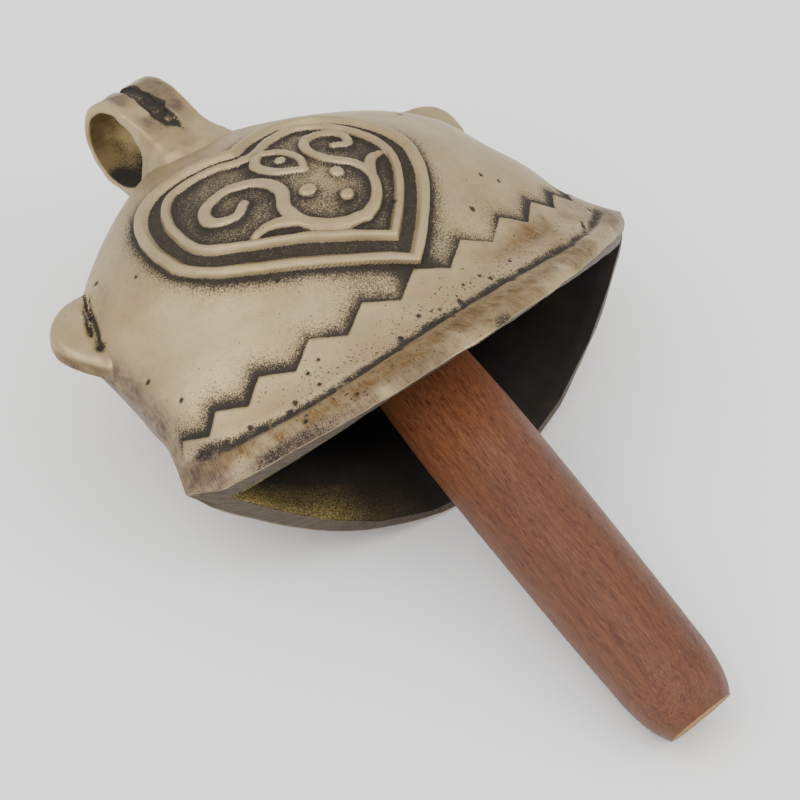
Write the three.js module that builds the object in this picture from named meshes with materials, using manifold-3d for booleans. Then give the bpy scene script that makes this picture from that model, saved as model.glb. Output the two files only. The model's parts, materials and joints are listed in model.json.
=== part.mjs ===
// Cast cowbell with a wooden clapper, lying on its back.
// Millimetres, +Z up. Origin: centre of the bounding box's base.
// The bell is drawn in its own frame (x across the mouth, y up the bell's axis
// towards the hanger loop, z out of the decorated front) and then laid down.
import * as THREE from 'three';
import { mergeVertices } from 'three/addons/utils/BufferGeometryUtils.js';
import Module from 'manifold-3d';

const wasm = await Module();
wasm.setup();

// ---- driving dimensions ----
const mouthHalfWidth = 58;
const waistHalfWidth = 52.2;
const chestHalfWidth = 49.2;
const shoulderHalfWidth = 48.6;
const mouthHalfDepth = 22.4;
const waistHalfDepth = 17.6;
const chestHalfDepth = 22.2;
const shoulderHalfDepth = 26.4;
const crownHalfDepth = 18.5;
const waistLevel = 12;
const chestLevel = 24;
const shoulderLevel = 36;
const crownLevel = 72;
const crownRoundness = 1.7;
const rimSag = 19;
const sagFade = 0.55;
const wall = 2.8;
const rimWall = 1.5;
const crownWall = 3.5;
const mouthWeb = 7;
const clearance = 0.3;

const heartRelief = 1.2;
const heartRooting = 0.9;
const heartRidge = 2.2;
const heartChannel = 2.4;

const loopWidth = 13.8;
const loopOuterRadius = 10;
const loopHoleRadius = 8;
const loopHeight = 79;
const loopOffset = 1.2;
const loopFoot = 21;
const loopEdge = 0.6;
const loopGroove = { width: 2.4, depth: 0.8, foot: 8 };
const loopFootDepth = 7.6;
const skirt = { top: 4, bottom: 23, flare: 7, flareDrop: 12.5, flareEnd: 0.8, leftShare: 0.7 };
const skirtDepth = { top: 9.2, swell: 1.3, start: 8, drop: 12 };
const skirtSquareness = 2.1;

const earThickness = 4.6;
const earForward = 1.4;
const earEdge = 1.6;
const earInner = 36;
const earInnerDrop = 3;
const leftEar = {
  top: [39.5, 50.6],
  upper: [45, 50.6, 50.8, 49, 52, 43],
  lower: [52.6, 39.5, 50.2, 35.8, 48.6, 32.5],
};
const rightEar = {
  top: [40.5, 48.9],
  upper: [45, 48.6, 49.6, 47, 50.2, 43],
  lower: [50.4, 40.5, 49.2, 38, 48.4, 35],
};

const barLevel = 54;
const barRadius = 2;
const stapleHalfWidth = 10;
const stapleBend = 3;
const linkWire = 1.5;
const linkDrop = 24;
const linkHalfGap = 4;
const eyeWire = 1.5;
const eyeHole = 4;
const eyeStem = { neck: 1.6, collar: 4.2, collarHeight: 3, radius: 1.7, depth: 17 };
const slack = 0.35;

const rodLength = 112;
const rodBelly = 10.1;
const rodShoulder = 9.3;
const rodHead = 8.2;
const rodSawnFace = 5.6;
const rodBore = { radius: 2, depth: 17.5 };
const sawTilt = THREE.MathUtils.degToRad(18);
const sawTwist = THREE.MathUtils.degToRad(11);
const linkOffset = 5;
const linkTilt = THREE.MathUtils.degToRad(3.1);
const clapperLean = THREE.MathUtils.degToRad(12);

const aroundSegments = 48;
const sideLevels = 10;
const capLevels = 8;

// ---- materials ----
function metal(color, roughness, metalness) {
  return new THREE.MeshStandardMaterial({ color, roughness, metalness });
}

const materials = {
  bronze: () => metal(0xb9aa88, 0.38, 0.9),
  loopBronze: () => metal(0xc2b48f, 0.34, 0.9),
  earBronze: () => metal(0xb5a581, 0.4, 0.9),
  iron: () => metal(0x4a4440, 0.6, 0.8),
  steel: () => metal(0x6b6661, 0.5, 0.9),
  wood: () => metal(0x8f5640, 0.55, 0),
};

// ---- solids: conversion between three.js geometry and manifold solids ----
function toSolid(geometry) {
  const bare = geometry.clone();
  bare.deleteAttribute('normal');
  bare.deleteAttribute('uv');
  const merged = mergeVertices(bare, 1e-4);
  return new wasm.Manifold(new wasm.Mesh({
    numProp: 3,
    vertProperties: new Float32Array(merged.attributes.position.array),
    triVerts: new Uint32Array(merged.index.array),
  }));
}

function toGeometry(solid) {
  const mesh = solid.getMesh();
  const geometry = new THREE.BufferGeometry();
  geometry.setAttribute('position', new THREE.BufferAttribute(mesh.vertProperties, 3));
  geometry.setIndex(new THREE.BufferAttribute(mesh.triVerts, 1));
  geometry.computeVertexNormals();
  return geometry;
}

// ---- the bell's surface: level curves from the mouth to the crown ----
function between(level, levels, values) {
  const last = levels.length - 1;
  const slopes = values.map((value, i) => {
    const low = Math.max(i - 1, 0);
    const high = Math.min(i + 1, last);
    return (values[high] - values[low]) / (levels[high] - levels[low]);
  });
  let i = 0;
  while (i < last - 1 && level > levels[i + 1]) i += 1;
  const span = levels[i + 1] - levels[i];
  const t = THREE.MathUtils.clamp((level - levels[i]) / span, 0, 1);
  const rise = values[i + 1] - values[i];
  const bend = (slopes[i] * span - rise) * (1 - t) + (rise - slopes[i + 1] * span) * t;
  return values[i] + rise * t + t * (1 - t) * bend;
}

const stations = [0, waistLevel, chestLevel, shoulderLevel, crownLevel + 4];
const halfWidths = [
  mouthHalfWidth, waistHalfWidth, chestHalfWidth, shoulderHalfWidth, shoulderHalfWidth,
];
const halfDepths = [
  mouthHalfDepth, waistHalfDepth, chestHalfDepth, shoulderHalfDepth, crownHalfDepth,
];
const mouthSharpness = 1.05;
const waistSharpness = 0.52;
const shoulderSharpness = 0.74;
const crownSharpness = 0.55;

function capFactor(level, top) {
  if (level <= shoulderLevel) return 1;
  const h = Math.min((level - shoulderLevel) / (top - shoulderLevel), 1);
  return Math.pow(1 - Math.pow(h, crownRoundness), 1 / crownRoundness);
}

function sharpness(level) {
  return between(level, [0, 18, shoulderLevel, crownLevel + 4],
    [mouthSharpness, waistSharpness, shoulderSharpness, crownSharpness]);
}

function sagAt(level, x) {
  const sag = rimSag * Math.pow(Math.max(1 - level / (crownLevel + 4), 0), sagFade);
  return sag * (1 - (x / between(level, stations, halfWidths)) ** 2);
}

// A level curve is a lens at the mouth and rounds off towards the crown.
// sideInset and faceInset move it in from the outer surface.
function levelCurve(level, sideInset, faceInset, top) {
  const cap = capFactor(level, top);
  const width = (between(level, stations, halfWidths) - sideInset) * cap;
  const depth = (between(level, stations, halfDepths) - faceInset) * cap;
  const points = [];
  for (let i = 0; i < aroundSegments; i += 1) {
    const turn = (2 * Math.PI * i) / aroundSegments;
    const x = -width * Math.cos(turn);
    const bulge = Math.pow(Math.abs(Math.sin(turn)), 2 * sharpness(level));
    const z = depth * bulge * Math.sign(Math.round(Math.sin(turn) * 1e9));
    points.push([x, level - sagAt(level, x) * cap ** 0.25, z]);
  }
  return points;
}

function levelsUpTo(top) {
  const levels = [];
  for (let i = 0; i < sideLevels; i += 1) levels.push((shoulderLevel * i) / sideLevels);
  for (let i = 0; i < capLevels; i += 1) {
    const rise = Math.sin((Math.PI / 2) * (i / capLevels));
    levels.push(THREE.MathUtils.lerp(shoulderLevel, top, rise));
  }
  return levels;
}

// Insets at the rim: side and rim; from the shoulder up: face.
function crownCurves(side, rim, face, crownInset) {
  const top = crownLevel - crownInset;
  const curves = levelsUpTo(top).map((level) => {
    const t = Math.min(level / shoulderLevel, 1);
    return levelCurve(level, THREE.MathUtils.lerp(side, face, t), THREE.MathUtils.lerp(rim, face, t), top);
  });
  return { curves, pole: [0, top, 0] };
}

function stitch(curves) {
  const faces = [];
  const count = aroundSegments;
  for (let k = 0; k + 1 < curves; k += 1) {
    for (let i = 0; i < count; i += 1) {
      const a = k * count + i;
      const b = k * count + ((i + 1) % count);
      faces.push(a, b, a + count, b, b + count, a + count);
    }
  }
  return faces;
}

function closeOnPole(firstOfCurve, pole) {
  const faces = [];
  for (let i = 0; i < aroundSegments; i += 1) {
    faces.push(firstOfCurve + i, firstOfCurve + ((i + 1) % aroundSegments), pole);
  }
  return faces;
}

function flipped(faces) {
  const turned = [];
  for (let i = 0; i < faces.length; i += 3) turned.push(faces[i + 1], faces[i], faces[i + 2]);
  return turned;
}

function solidFromFaces(vertices, faces) {
  return new wasm.Manifold(new wasm.Mesh({
    numProp: 3,
    vertProperties: new Float32Array(vertices.flat()),
    triVerts: new Uint32Array(faces),
  }));
}

// A dome of level curves, closed across the mouth.
function closedDome({ curves, pole }) {
  const poleIndex = curves.length * aroundSegments;
  return solidFromFaces([...curves.flat(), pole, [0, -rimSag / 2, 0]], [
    ...stitch(curves.length),
    ...closeOnPole((curves.length - 1) * aroundSegments, poleIndex),
    ...flipped(closeOnPole(0, poleIndex + 1)),
  ]);
}

// The whole body as if it were not hollow; grow moves its surface out.
function bodySolid(grow) {
  return closedDome(crownCurves(-grow, -grow, -grow, -grow));
}

function cavityCurves(gap) {
  return crownCurves(mouthWeb + gap, rimWall + gap, wall + gap, crownWall + gap);
}

// Outer surface, rim face and inner surface as one closed wall.
function hollowBody() {
  const outer = crownCurves(0, 0, 0, 0);
  const inner = cavityCurves(0);
  const vertices = [...outer.curves.flat(), outer.pole, ...inner.curves.flat(), inner.pole];
  const outerPole = outer.curves.length * aroundSegments;
  const innerStart = outerPole + 1;
  const innerPole = innerStart + inner.curves.length * aroundSegments;
  const innerFaces = flipped([
    ...stitch(inner.curves.length).map((index) => index + innerStart),
    ...closeOnPole(innerStart + (inner.curves.length - 1) * aroundSegments, innerPole),
  ]);
  const rim = [];
  for (let i = 0; i < aroundSegments; i += 1) {
    const j = (i + 1) % aroundSegments;
    rim.push(j, i, innerStart + i, j, innerStart + i, innerStart + j);
  }
  const faces = [
    ...stitch(outer.curves.length),
    ...closeOnPole((outer.curves.length - 1) * aroundSegments, outerPole),
    ...innerFaces,
    ...rim,
  ];
  return solidFromFaces(vertices, faces);
}

// ---- heart border: two raised ridges with a channel between them ----
// The outline is in plan, seen from the front; its left lobe is the fuller one.
const heart = {
  tip: [0.8, 2.8],
  right: [[9, 8.5, 20.5, 17, 20.8, 31], [21, 41, 18, 52.6, 8, 52.6], [4, 52.6, 1, 52.2, -2, 50.6]],
  left: [[-5, 54.5, -11, 56, -17.5, 56], [-27, 54, -32, 42, -32.5, 33], [-32, 22, -14, 11.5, 0.8, 2.8]],
};

function heartOutline() {
  const path = new THREE.Path().moveTo(...heart.tip);
  [...heart.right, ...heart.left].forEach((curve) => path.bezierCurveTo(...curve));
  return path.getPoints(8).slice(0, -1);
}

// The outline moved inwards by inset; points that would cross over are left out.
function heartInset(inset) {
  const outline = heartOutline();
  const count = outline.length;
  const moved = outline.map((point, i) => {
    const before = outline[(i + count - 1) % count];
    const after = outline[(i + 1) % count];
    const along = after.clone().sub(before).normalize();
    return new THREE.Vector2(point.x - along.y * inset, point.y + along.x * inset);
  });
  const spacing = 0.1;
  return moved.filter((p) => outline.every((q) => p.distanceTo(q) > inset - spacing));
}

function heartRing(outerInset) {
  const shape = new THREE.Shape(heartInset(outerInset));
  shape.holes.push(new THREE.Path(heartInset(outerInset + heartRidge)));
  const depth = 2 * shoulderHalfDepth;
  return toSolid(new THREE.ExtrudeGeometry(shape, { depth, bevelEnabled: false }));
}

function bellShell() {
  const skin = bodySolid(heartRelief).subtract(bodySolid(-heartRooting));
  const rings = heartRing(0).add(heartRing(heartRidge + heartChannel));
  return toGeometry(hollowBody().add(rings.intersect(skin)));
}

// ---- hanger loop: a short band loop whose root spreads into the crown ----
// Drawn about the loop's centre with its hole along z, then turned to lie along x.
function archPrism(radius, foot, footDepth, width, edge) {
  const r = radius - edge;
  const outline = new THREE.Shape();
  outline.moveTo(-footDepth, -foot);
  outline.bezierCurveTo(-footDepth, -foot / 2, -r, -foot / 3, -r, 0);
  outline.absarc(0, 0, r, Math.PI, 0, true);
  outline.bezierCurveTo(r, -foot / 3, footDepth, -foot / 2, footDepth, -foot);
  outline.closePath();
  const prism = new THREE.ExtrudeGeometry(outline, {
    depth: width - 2 * edge, bevelEnabled: edge > 0, bevelThickness: edge, bevelSize: edge,
    bevelSegments: 1, curveSegments: 12,
  });
  prism.translate(0, 0, edge - width / 2);
  return toSolid(prism);
}

// Half width of the root at a depth below the loop's centre, on its wider right side.
function skirtHalfWidth(depth) {
  const t = Math.min((depth - skirt.top) / skirt.flareDrop, 1);
  const beyond = Math.max(depth - skirt.top - skirt.flareDrop, 0);
  return loopWidth / 2 + skirt.flare * t * t + skirt.flareEnd * beyond;
}

function skirtHalfDepth(depth) {
  const t = Math.max(depth - skirtDepth.start, 0) / skirtDepth.drop;
  return skirtDepth.top + skirtDepth.swell * t * t;
}

// The root: squared oval sections that widen downwards, less so on the left.
function loopRoot() {
  const steps = 9;
  const profile = [new THREE.Vector2(0, -skirt.bottom)];
  for (let i = 0; i <= steps; i += 1) {
    profile.push(new THREE.Vector2(1, THREE.MathUtils.lerp(-skirt.bottom, -skirt.top, i / steps)));
  }
  profile.push(new THREE.Vector2(0, -skirt.top));
  const root = new THREE.LatheGeometry(profile, 40);
  const position = root.attributes.position;
  for (let i = 0; i < position.count; i += 1) {
    const [x, y, z] = [position.getX(i), position.getY(i), position.getZ(i)];
    if (Math.hypot(x, z) > 0.5) {
      const round = (Math.abs(x) ** skirtSquareness + Math.abs(z) ** skirtSquareness)
        ** (-1 / skirtSquareness);
      const half = loopWidth / 2;
      const spread = (skirtHalfWidth(-y) - half) * (x < 0 ? skirt.leftShare : 1);
      position.setX(i, x * round * (half + spread));
      position.setZ(i, z * round * skirtHalfDepth(-y));
    }
  }
  root.rotateY(-Math.PI / 2);
  return toSolid(root);
}

function loopHole() {
  const length = 3 * loopWidth;
  const hole = new THREE.CylinderGeometry(loopHoleRadius, loopHoleRadius, length, 32);
  hole.rotateX(Math.PI / 2);
  return toSolid(hole);
}

function loopGrooveCut() {
  const { width, depth, foot } = loopGroove;
  const [high, low] = [loopOuterRadius + depth, loopOuterRadius - depth];
  const around = archPrism(high, foot, high, width, 0);
  return around.subtract(archPrism(low, foot + 1, low, width + 1, 0));
}

function hangerLoop() {
  const band = archPrism(loopOuterRadius, loopFoot, loopFootDepth, loopWidth, loopEdge);
  const loop = band.add(loopRoot()).subtract(loopHole()).subtract(loopGrooveCut());
  const upright = new THREE.Matrix4().makeRotationY(Math.PI / 2);
  const place = new THREE.Matrix4().makeTranslation(loopOffset, loopHeight, 0).multiply(upright);
  return toGeometry(toSolid(toGeometry(loop).applyMatrix4(place)).subtract(bodySolid(clearance)));
}

// ---- ears: flat rounded lugs on the two shoulders, nearer the front ----
function ear(side, { top, upper, lower }) {
  const outline = new THREE.Shape();
  outline.moveTo(earInner, top[1] - earInnerDrop);
  outline.lineTo(...top);
  outline.bezierCurveTo(...upper);
  outline.bezierCurveTo(...lower);
  outline.lineTo(earInner, lower[5]);
  outline.closePath();
  const lug = new THREE.ExtrudeGeometry(outline, {
    depth: earThickness - 2 * earEdge, bevelEnabled: true, bevelThickness: earEdge,
    bevelSize: earEdge, bevelOffset: -earEdge, bevelSegments: 3, curveSegments: 9,
  });
  lug.translate(0, 0, earEdge - earThickness / 2);
  if (side < 0) lug.rotateY(Math.PI);
  lug.translate(0, 0, earForward);
  return toGeometry(toSolid(lug).subtract(bodySolid(clearance)));
}

// ---- staple: a bar on two legs under the crown, inside the bell ----
function crownStaple() {
  const bend = stapleBend;
  const at = (x, y) => new THREE.Vector3(x, y, 0);
  const turned = (side) => [
    at(side * stapleHalfWidth, barLevel + bend), at(side * stapleHalfWidth, barLevel),
    at(side * (stapleHalfWidth - bend), barLevel),
  ];
  const path = new THREE.CurvePath();
  path.add(new THREE.LineCurve3(at(-stapleHalfWidth, crownLevel), turned(-1)[0]));
  path.add(new THREE.QuadraticBezierCurve3(...turned(-1)));
  path.add(new THREE.LineCurve3(turned(-1)[2], turned(1)[2]));
  path.add(new THREE.QuadraticBezierCurve3(...turned(1).reverse()));
  path.add(new THREE.LineCurve3(turned(1)[0], at(stapleHalfWidth, crownLevel)));
  const section = new THREE.Shape().absarc(0, 0, barRadius, 0, 2 * Math.PI, false);
  const bar = new THREE.ExtrudeGeometry(section, {
    steps: 34, extrudePath: path, curveSegments: 7, bevelEnabled: false,
  });
  return toGeometry(toSolid(bar).intersect(closedDome(cavityCurves(clearance))));
}

// ---- link: an oval ring round the bar, its lower bend at -linkDrop ----
function linkRing() {
  const bendRadius = linkHalfGap + linkWire;
  const top = barRadius + slack + linkWire;
  const straight = top + linkDrop - 2 * bendRadius;
  const link = new THREE.TorusGeometry(bendRadius, linkWire, 10, 24);
  link.rotateY(Math.PI / 2);
  const position = link.attributes.position;
  for (let i = 0; i < position.count; i += 1) {
    const half = position.getY(i) > 0 ? straight / 2 : -straight / 2;
    position.setY(i, position.getY(i) + half + (top - linkDrop) / 2);
  }
  return toGeometry(toSolid(link));
}

// ---- screw eye: drawn with the link's lower wire at its origin ----
const eyeTop = linkWire + slack + eyeWire;
const eyeCentre = eyeTop - eyeHole - eyeWire;
const collarTop = eyeCentre - eyeHole - eyeWire;
const rodTop = collarTop - eyeStem.collarHeight;

function screwEye() {
  const ring = new THREE.TorusGeometry(eyeHole + eyeWire, eyeWire, 10, 24);
  ring.translate(0, eyeCentre, 0);
  const { neck, collar, radius, depth } = eyeStem;
  const stem = new THREE.LatheGeometry([
    new THREE.Vector2(0, rodTop - depth),
    new THREE.Vector2(radius, rodTop - depth + neck * 2),
    new THREE.Vector2(radius, rodTop + clearance),
    new THREE.Vector2(collar, rodTop + clearance),
    new THREE.Vector2(collar, collarTop - eyeWire * 0.8),
    new THREE.Vector2(neck + 0.5, collarTop - eyeWire / 2),
    new THREE.Vector2(neck, collarTop + eyeWire * 0.8),
    new THREE.Vector2(0, collarTop + eyeWire * 0.8),
  ], 20);
  return toGeometry(toSolid(ring).add(toSolid(stem)));
}

// ---- wooden clapper: bored for the eye's stem, rounded at the striking end ----
// The free end is sawn off a little out of square.
function clapperRod() {
  const foot = rodTop - rodLength;
  const { radius: boreRadius, depth: boreDepth } = rodBore;
  const spare = 2;
  const profile = new THREE.Path();
  profile.moveTo(0, foot - spare);
  profile.lineTo(rodSawnFace - 1.2, foot - spare);
  profile.bezierCurveTo(
    rodSawnFace + 2.2, foot + 0.4, rodShoulder, foot + 6, rodShoulder, foot + 14);
  profile.quadraticCurveTo(rodBelly + 0.2, foot + 45, rodBelly, foot + 72);
  profile.quadraticCurveTo(rodBelly - 0.2, foot + 90, rodHead + 0.4, rodTop - 6);
  profile.quadraticCurveTo(rodHead + 0.1, rodTop - 1, rodHead - 1.6, rodTop);
  profile.lineTo(boreRadius, rodTop);
  profile.lineTo(boreRadius, rodTop - boreDepth);
  profile.lineTo(0, rodTop - boreDepth);
  const rod = toSolid(new THREE.LatheGeometry(profile.getPoints(5), 32));
  const offcut = new THREE.BoxGeometry(4 * rodBelly, 2 * rodBelly, 4 * rodBelly);
  offcut.translate(0, -rodBelly, 0);
  offcut.rotateX(sawTilt);
  offcut.rotateZ(sawTwist);
  offcut.translate(0, foot, 0);
  return toGeometry(rod.subtract(toSolid(offcut)));
}

// ---- assembly ----
function piece(name, geometry, material) {
  const mesh = new THREE.Mesh(geometry, material);
  mesh.name = name;
  return mesh;
}

const bell = new THREE.Group();
bell.add(piece('bell_shell', bellShell(), materials.bronze()));
bell.add(piece('hanger_loop', hangerLoop(), materials.loopBronze()));
bell.add(piece('left_ear', ear(-1, leftEar), materials.earBronze()));
bell.add(piece('right_ear', ear(1, rightEar), materials.earBronze()));
bell.add(piece('crown_staple', crownStaple(), materials.iron()));

const swing = new THREE.Group();
swing.name = 'swing';
swing.position.set(linkOffset, barLevel, 0);
swing.rotation.x = linkTilt;
swing.add(piece('link_ring', linkRing(), materials.steel()));
bell.add(swing);

const sway = new THREE.Group();
sway.name = 'sway';
sway.position.set(0, -linkDrop, 0);
sway.rotation.z = -clapperLean;
sway.add(piece('screw_eye', screwEye(), materials.steel()));
sway.add(piece('clapper_rod', clapperRod(), materials.wood()));
swing.add(sway);

// Lay the bell on its back: the rear of the rim and of the shoulder touch z = 0.
const shoulderMiddle = shoulderLevel - sagAt(shoulderLevel, 0);
bell.rotation.x = Math.atan2(shoulderHalfDepth - mouthHalfDepth, shoulderMiddle + rimSag);
const cowbell = new THREE.Group();
cowbell.add(bell);
cowbell.updateMatrixWorld(true);
const box = new THREE.Box3().setFromObject(cowbell, true);
bell.position.set(-(box.min.x + box.max.x) / 2, -(box.min.y + box.max.y) / 2, -box.min.z);

export default cowbell;
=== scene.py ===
"""A cast bronze cowbell lying on its back, with a wooden clapper."""

import json
import math

import bpy
import numpy as np
from mathutils import Matrix, Vector
from mathutils.bvhtree import BVHTree


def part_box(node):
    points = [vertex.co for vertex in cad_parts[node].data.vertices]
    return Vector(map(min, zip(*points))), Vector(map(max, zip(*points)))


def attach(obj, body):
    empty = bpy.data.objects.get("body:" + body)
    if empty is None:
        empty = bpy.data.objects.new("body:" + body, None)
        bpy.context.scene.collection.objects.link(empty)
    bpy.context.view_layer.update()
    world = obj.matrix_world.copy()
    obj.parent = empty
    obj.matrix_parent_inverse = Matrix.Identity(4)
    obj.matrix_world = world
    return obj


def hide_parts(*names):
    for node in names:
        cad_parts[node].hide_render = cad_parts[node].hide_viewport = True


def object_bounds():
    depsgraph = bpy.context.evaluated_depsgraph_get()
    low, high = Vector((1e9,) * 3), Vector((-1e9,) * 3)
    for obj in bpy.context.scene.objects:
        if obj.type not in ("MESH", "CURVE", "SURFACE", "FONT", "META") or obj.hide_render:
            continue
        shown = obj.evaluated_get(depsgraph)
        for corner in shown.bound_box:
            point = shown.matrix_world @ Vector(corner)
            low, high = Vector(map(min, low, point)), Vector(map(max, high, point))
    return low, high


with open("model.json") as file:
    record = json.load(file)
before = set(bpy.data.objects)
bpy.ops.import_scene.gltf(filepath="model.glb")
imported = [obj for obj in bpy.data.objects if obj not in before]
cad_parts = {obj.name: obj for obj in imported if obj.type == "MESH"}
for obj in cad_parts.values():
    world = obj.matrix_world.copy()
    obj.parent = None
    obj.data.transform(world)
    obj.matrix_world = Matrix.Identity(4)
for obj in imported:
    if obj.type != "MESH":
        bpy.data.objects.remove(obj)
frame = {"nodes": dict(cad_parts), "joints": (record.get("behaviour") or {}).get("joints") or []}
cad_low, cad_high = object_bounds()

MM = 0.001
rng = np.random.default_rng(11)

# ---- driving dimensions of the bell, in millimetres, as in the CAD ----
LEVELS = np.array([0.0, 12.0, 24.0, 36.0, 76.0])
HALF_WIDTHS = np.array([58.0, 52.2, 49.2, 48.6, 48.6])
HALF_DEPTHS = np.array([22.4, 17.6, 22.2, 26.4, 18.5])
SHARP_LEVELS = np.array([0.0, 18.0, 36.0, 76.0])
SHARPNESSES = np.array([1.05, 0.52, 0.74, 0.55])
SHOULDER, CROWN, ROUNDNESS = 36.0, 72.0, 1.7
RIM_SAG, SAG_FADE = 19.0, 0.55
WALL, RIM_WALL, MOUTH_WEB, CROWN_WALL = 2.8, 1.5, 7.0, 3.5
RIDGE, CHANNEL = 2.2, 2.4

FRONT_COLUMNS, BACK_COLUMNS, INNER_SKIP = 360, 40, 4
SIDE_ROWS, CAP_ROWS, INNER_ROWS, RIM_ROWS = 105, 128, 28, 4


# ---- small numeric tools ----
def smooth(low, high, value):
    t = np.clip((value - low) / (high - low), 0, 1)
    return t * t * (3 - 2 * t)


def between(level, levels, values):
    """Cubic through the values, with slopes taken from their neighbours."""
    last = len(levels) - 1
    before = np.maximum(np.arange(last + 1) - 1, 0)
    after = np.minimum(np.arange(last + 1) + 1, last)
    slopes = (values[after] - values[before]) / (levels[after] - levels[before])
    i = np.searchsorted(levels[1:-1], level, side="left")
    span = levels[i + 1] - levels[i]
    t = np.clip((level - levels[i]) / span, 0, 1)
    rise = values[i + 1] - values[i]
    bend = (slopes[i] * span - rise) * (1 - t) + (rise - slopes[i + 1] * span) * t
    return values[i] + rise * t + t * (1 - t) * bend


class Grain:
    """Repeatable smooth noise from -1 to 1 over points in millimetres."""

    def __init__(self, seed, size=32):
        self.table = np.random.default_rng(seed).uniform(-1, 1, (size, size, size))
        self.size = size

    def at(self, points, scale):
        p = points / scale
        cell = np.floor(p).astype(int)
        f = p - cell
        f = f * f * (3 - 2 * f)
        total = 0
        for corner in np.ndindex(2, 2, 2):
            index = (cell + corner) % self.size
            weight = np.prod(np.where(corner, f, 1 - f), axis=-1)
            total = total + weight * self.table[index[..., 0], index[..., 1], index[..., 2]]
        return total


grain = Grain(5)


def bezier(start, curves, count=14):
    """Points along a chain of cubic curves, each given by two handles and an end."""
    points, at = [], np.array(start, float)
    for curve in curves:
        a, b, end = np.array(curve, float).reshape(3, 2)
        for t in np.arange(count) / count:
            s = 1 - t
            points.append(s**3 * at + 3 * s * s * t * a + 3 * s * t * t * b + t**3 * end)
        at = end
    return np.array([*points, at])


def through(points, count=10):
    """A smooth line through the points."""
    p = np.array(points, float)
    p = np.vstack([2 * p[0] - p[1], p, 2 * p[-1] - p[-2]])
    line = []
    for a, b, c, d in zip(p, p[1:], p[2:], p[3:]):
        for t in np.arange(count) / count:
            line.append(0.5 * (2 * b + (c - a) * t + (2 * a - 5 * b + 4 * c - d) * t * t
                               + (3 * b - a - 3 * c + d) * t**3))
    return np.array([*line, p[-2]])


def line_distance(points, line, half=None):
    """Distance from plan points to a line, less the line's own half width there."""
    best = np.full(len(points), 1e9)
    half = np.zeros(len(line)) if half is None else half
    for a, b, wa, wb in zip(line, line[1:], half, half[1:]):
        along = b - a
        t = np.clip((points - a) @ along / max(along @ along, 1e-12), 0, 1)
        gap = np.hypot(*(points - a - t[:, None] * along).T) - (wa + (wb - wa) * t)
        best = np.minimum(best, gap)
    return best


def inside_of(points, outline):
    x, y = points.T
    inside = np.zeros(len(points), bool)
    for (ax, ay), (bx, by) in zip(outline, np.roll(outline, -1, axis=0)):
        crosses = (ay > y) != (by > y)
        with np.errstate(divide="ignore", invalid="ignore"):
            inside ^= crosses & (x < (bx - ax) * (y - ay) / (by - ay) + ax)
    return inside


# ---- the bell's surface ----
def cap_factor(level, top):
    h = np.clip((level - SHOULDER) / (top - SHOULDER), 0, 1)
    return (1 - h**ROUNDNESS) ** (1 / ROUNDNESS)


def surface(turn, level, side_inset=0.0, face_inset=0.0, top=CROWN):
    cap = cap_factor(level, top)
    full = between(level, LEVELS, HALF_WIDTHS)
    width = (full - side_inset) * cap
    depth = (between(level, LEVELS, HALF_DEPTHS) - face_inset) * cap
    x = -width * np.cos(turn)
    wave = np.sin(turn)
    power = 2 * between(level, SHARP_LEVELS, SHARPNESSES)
    z = depth * np.abs(wave) ** power * np.sign(np.round(wave, 9))
    sag = RIM_SAG * np.maximum(1 - level / (CROWN + 4), 0) ** SAG_FADE * (1 - (x / full) ** 2)
    return np.stack([x, level - sag * cap**0.25, z], -1)


def columns():
    """Turns round the bell: closely spaced over the front, wider over the back."""
    def half(count):
        s = np.linspace(-1, 1, count + 1)[:-1]
        return 0.35 * math.pi * (s + 1) / 2 + 0.65 * np.arccos(-s)
    return np.concatenate([half(FRONT_COLUMNS), math.pi + half(BACK_COLUMNS)])


def rows(side_count, cap_count, top):
    side = np.linspace(0, SHOULDER, side_count, endpoint=False)
    arc = np.sin(math.pi / 2 * np.arange(cap_count) / cap_count)
    return np.concatenate([side, SHOULDER + (top - SHOULDER) * arc])


def normals_of(grid):
    along = np.roll(grid, -1, axis=1) - np.roll(grid, 1, axis=1)
    up = np.gradient(grid, axis=0)
    n = np.cross(up, along)
    n = -n / np.maximum(np.linalg.norm(n, axis=-1, keepdims=True), 1e-9)
    return -n if n[0, len(n[0]) // 3, 2] < 0 else n


# ---- how the bell lies: the rear of the rim and of the shoulder rest on the floor ----
def lie_angle():
    shoulder_middle = SHOULDER - RIM_SAG * (1 - SHOULDER / (CROWN + 4)) ** SAG_FADE
    return math.atan2(HALF_DEPTHS[3] - HALF_DEPTHS[0], shoulder_middle + RIM_SAG)


def lie_matrix():
    turn = Matrix.Rotation(lie_angle(), 4, "X")
    low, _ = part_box("bell_shell")
    turns, levels = np.meshgrid(columns(), rows(60, 40, CROWN))
    points = surface(turns, levels).reshape(-1, 3) @ np.array(turn.to_3x3()).T
    shift = Vector((0, low.y - points[:, 1].min() * MM, low.z - points[:, 2].min() * MM))
    return Matrix.Translation(shift) @ turn @ Matrix.Scale(MM, 4)


LIE = lie_matrix()


def to_row(points):
    m = np.array(LIE)
    return points @ m[:3, :3].T + m[:3, 3]


def to_bell(points):
    m = np.array(LIE.inverted())
    return points @ m[:3, :3].T + m[:3, 3]


# ---- the front's ornament, in plan ----
HEART = bezier((0.8, 2.8), [
    (9, 8.5, 20.5, 17, 20.8, 31), (21, 41, 18, 52.6, 8, 52.6), (4, 52.6, 1, 52.2, -2, 50.6),
    (-5, 54.5, -11, 56, -17.5, 56), (-27, 54, -32, 42, -32.5, 33), (-32, 22, -14, 11.5, 0.8, 2.8)])

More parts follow.
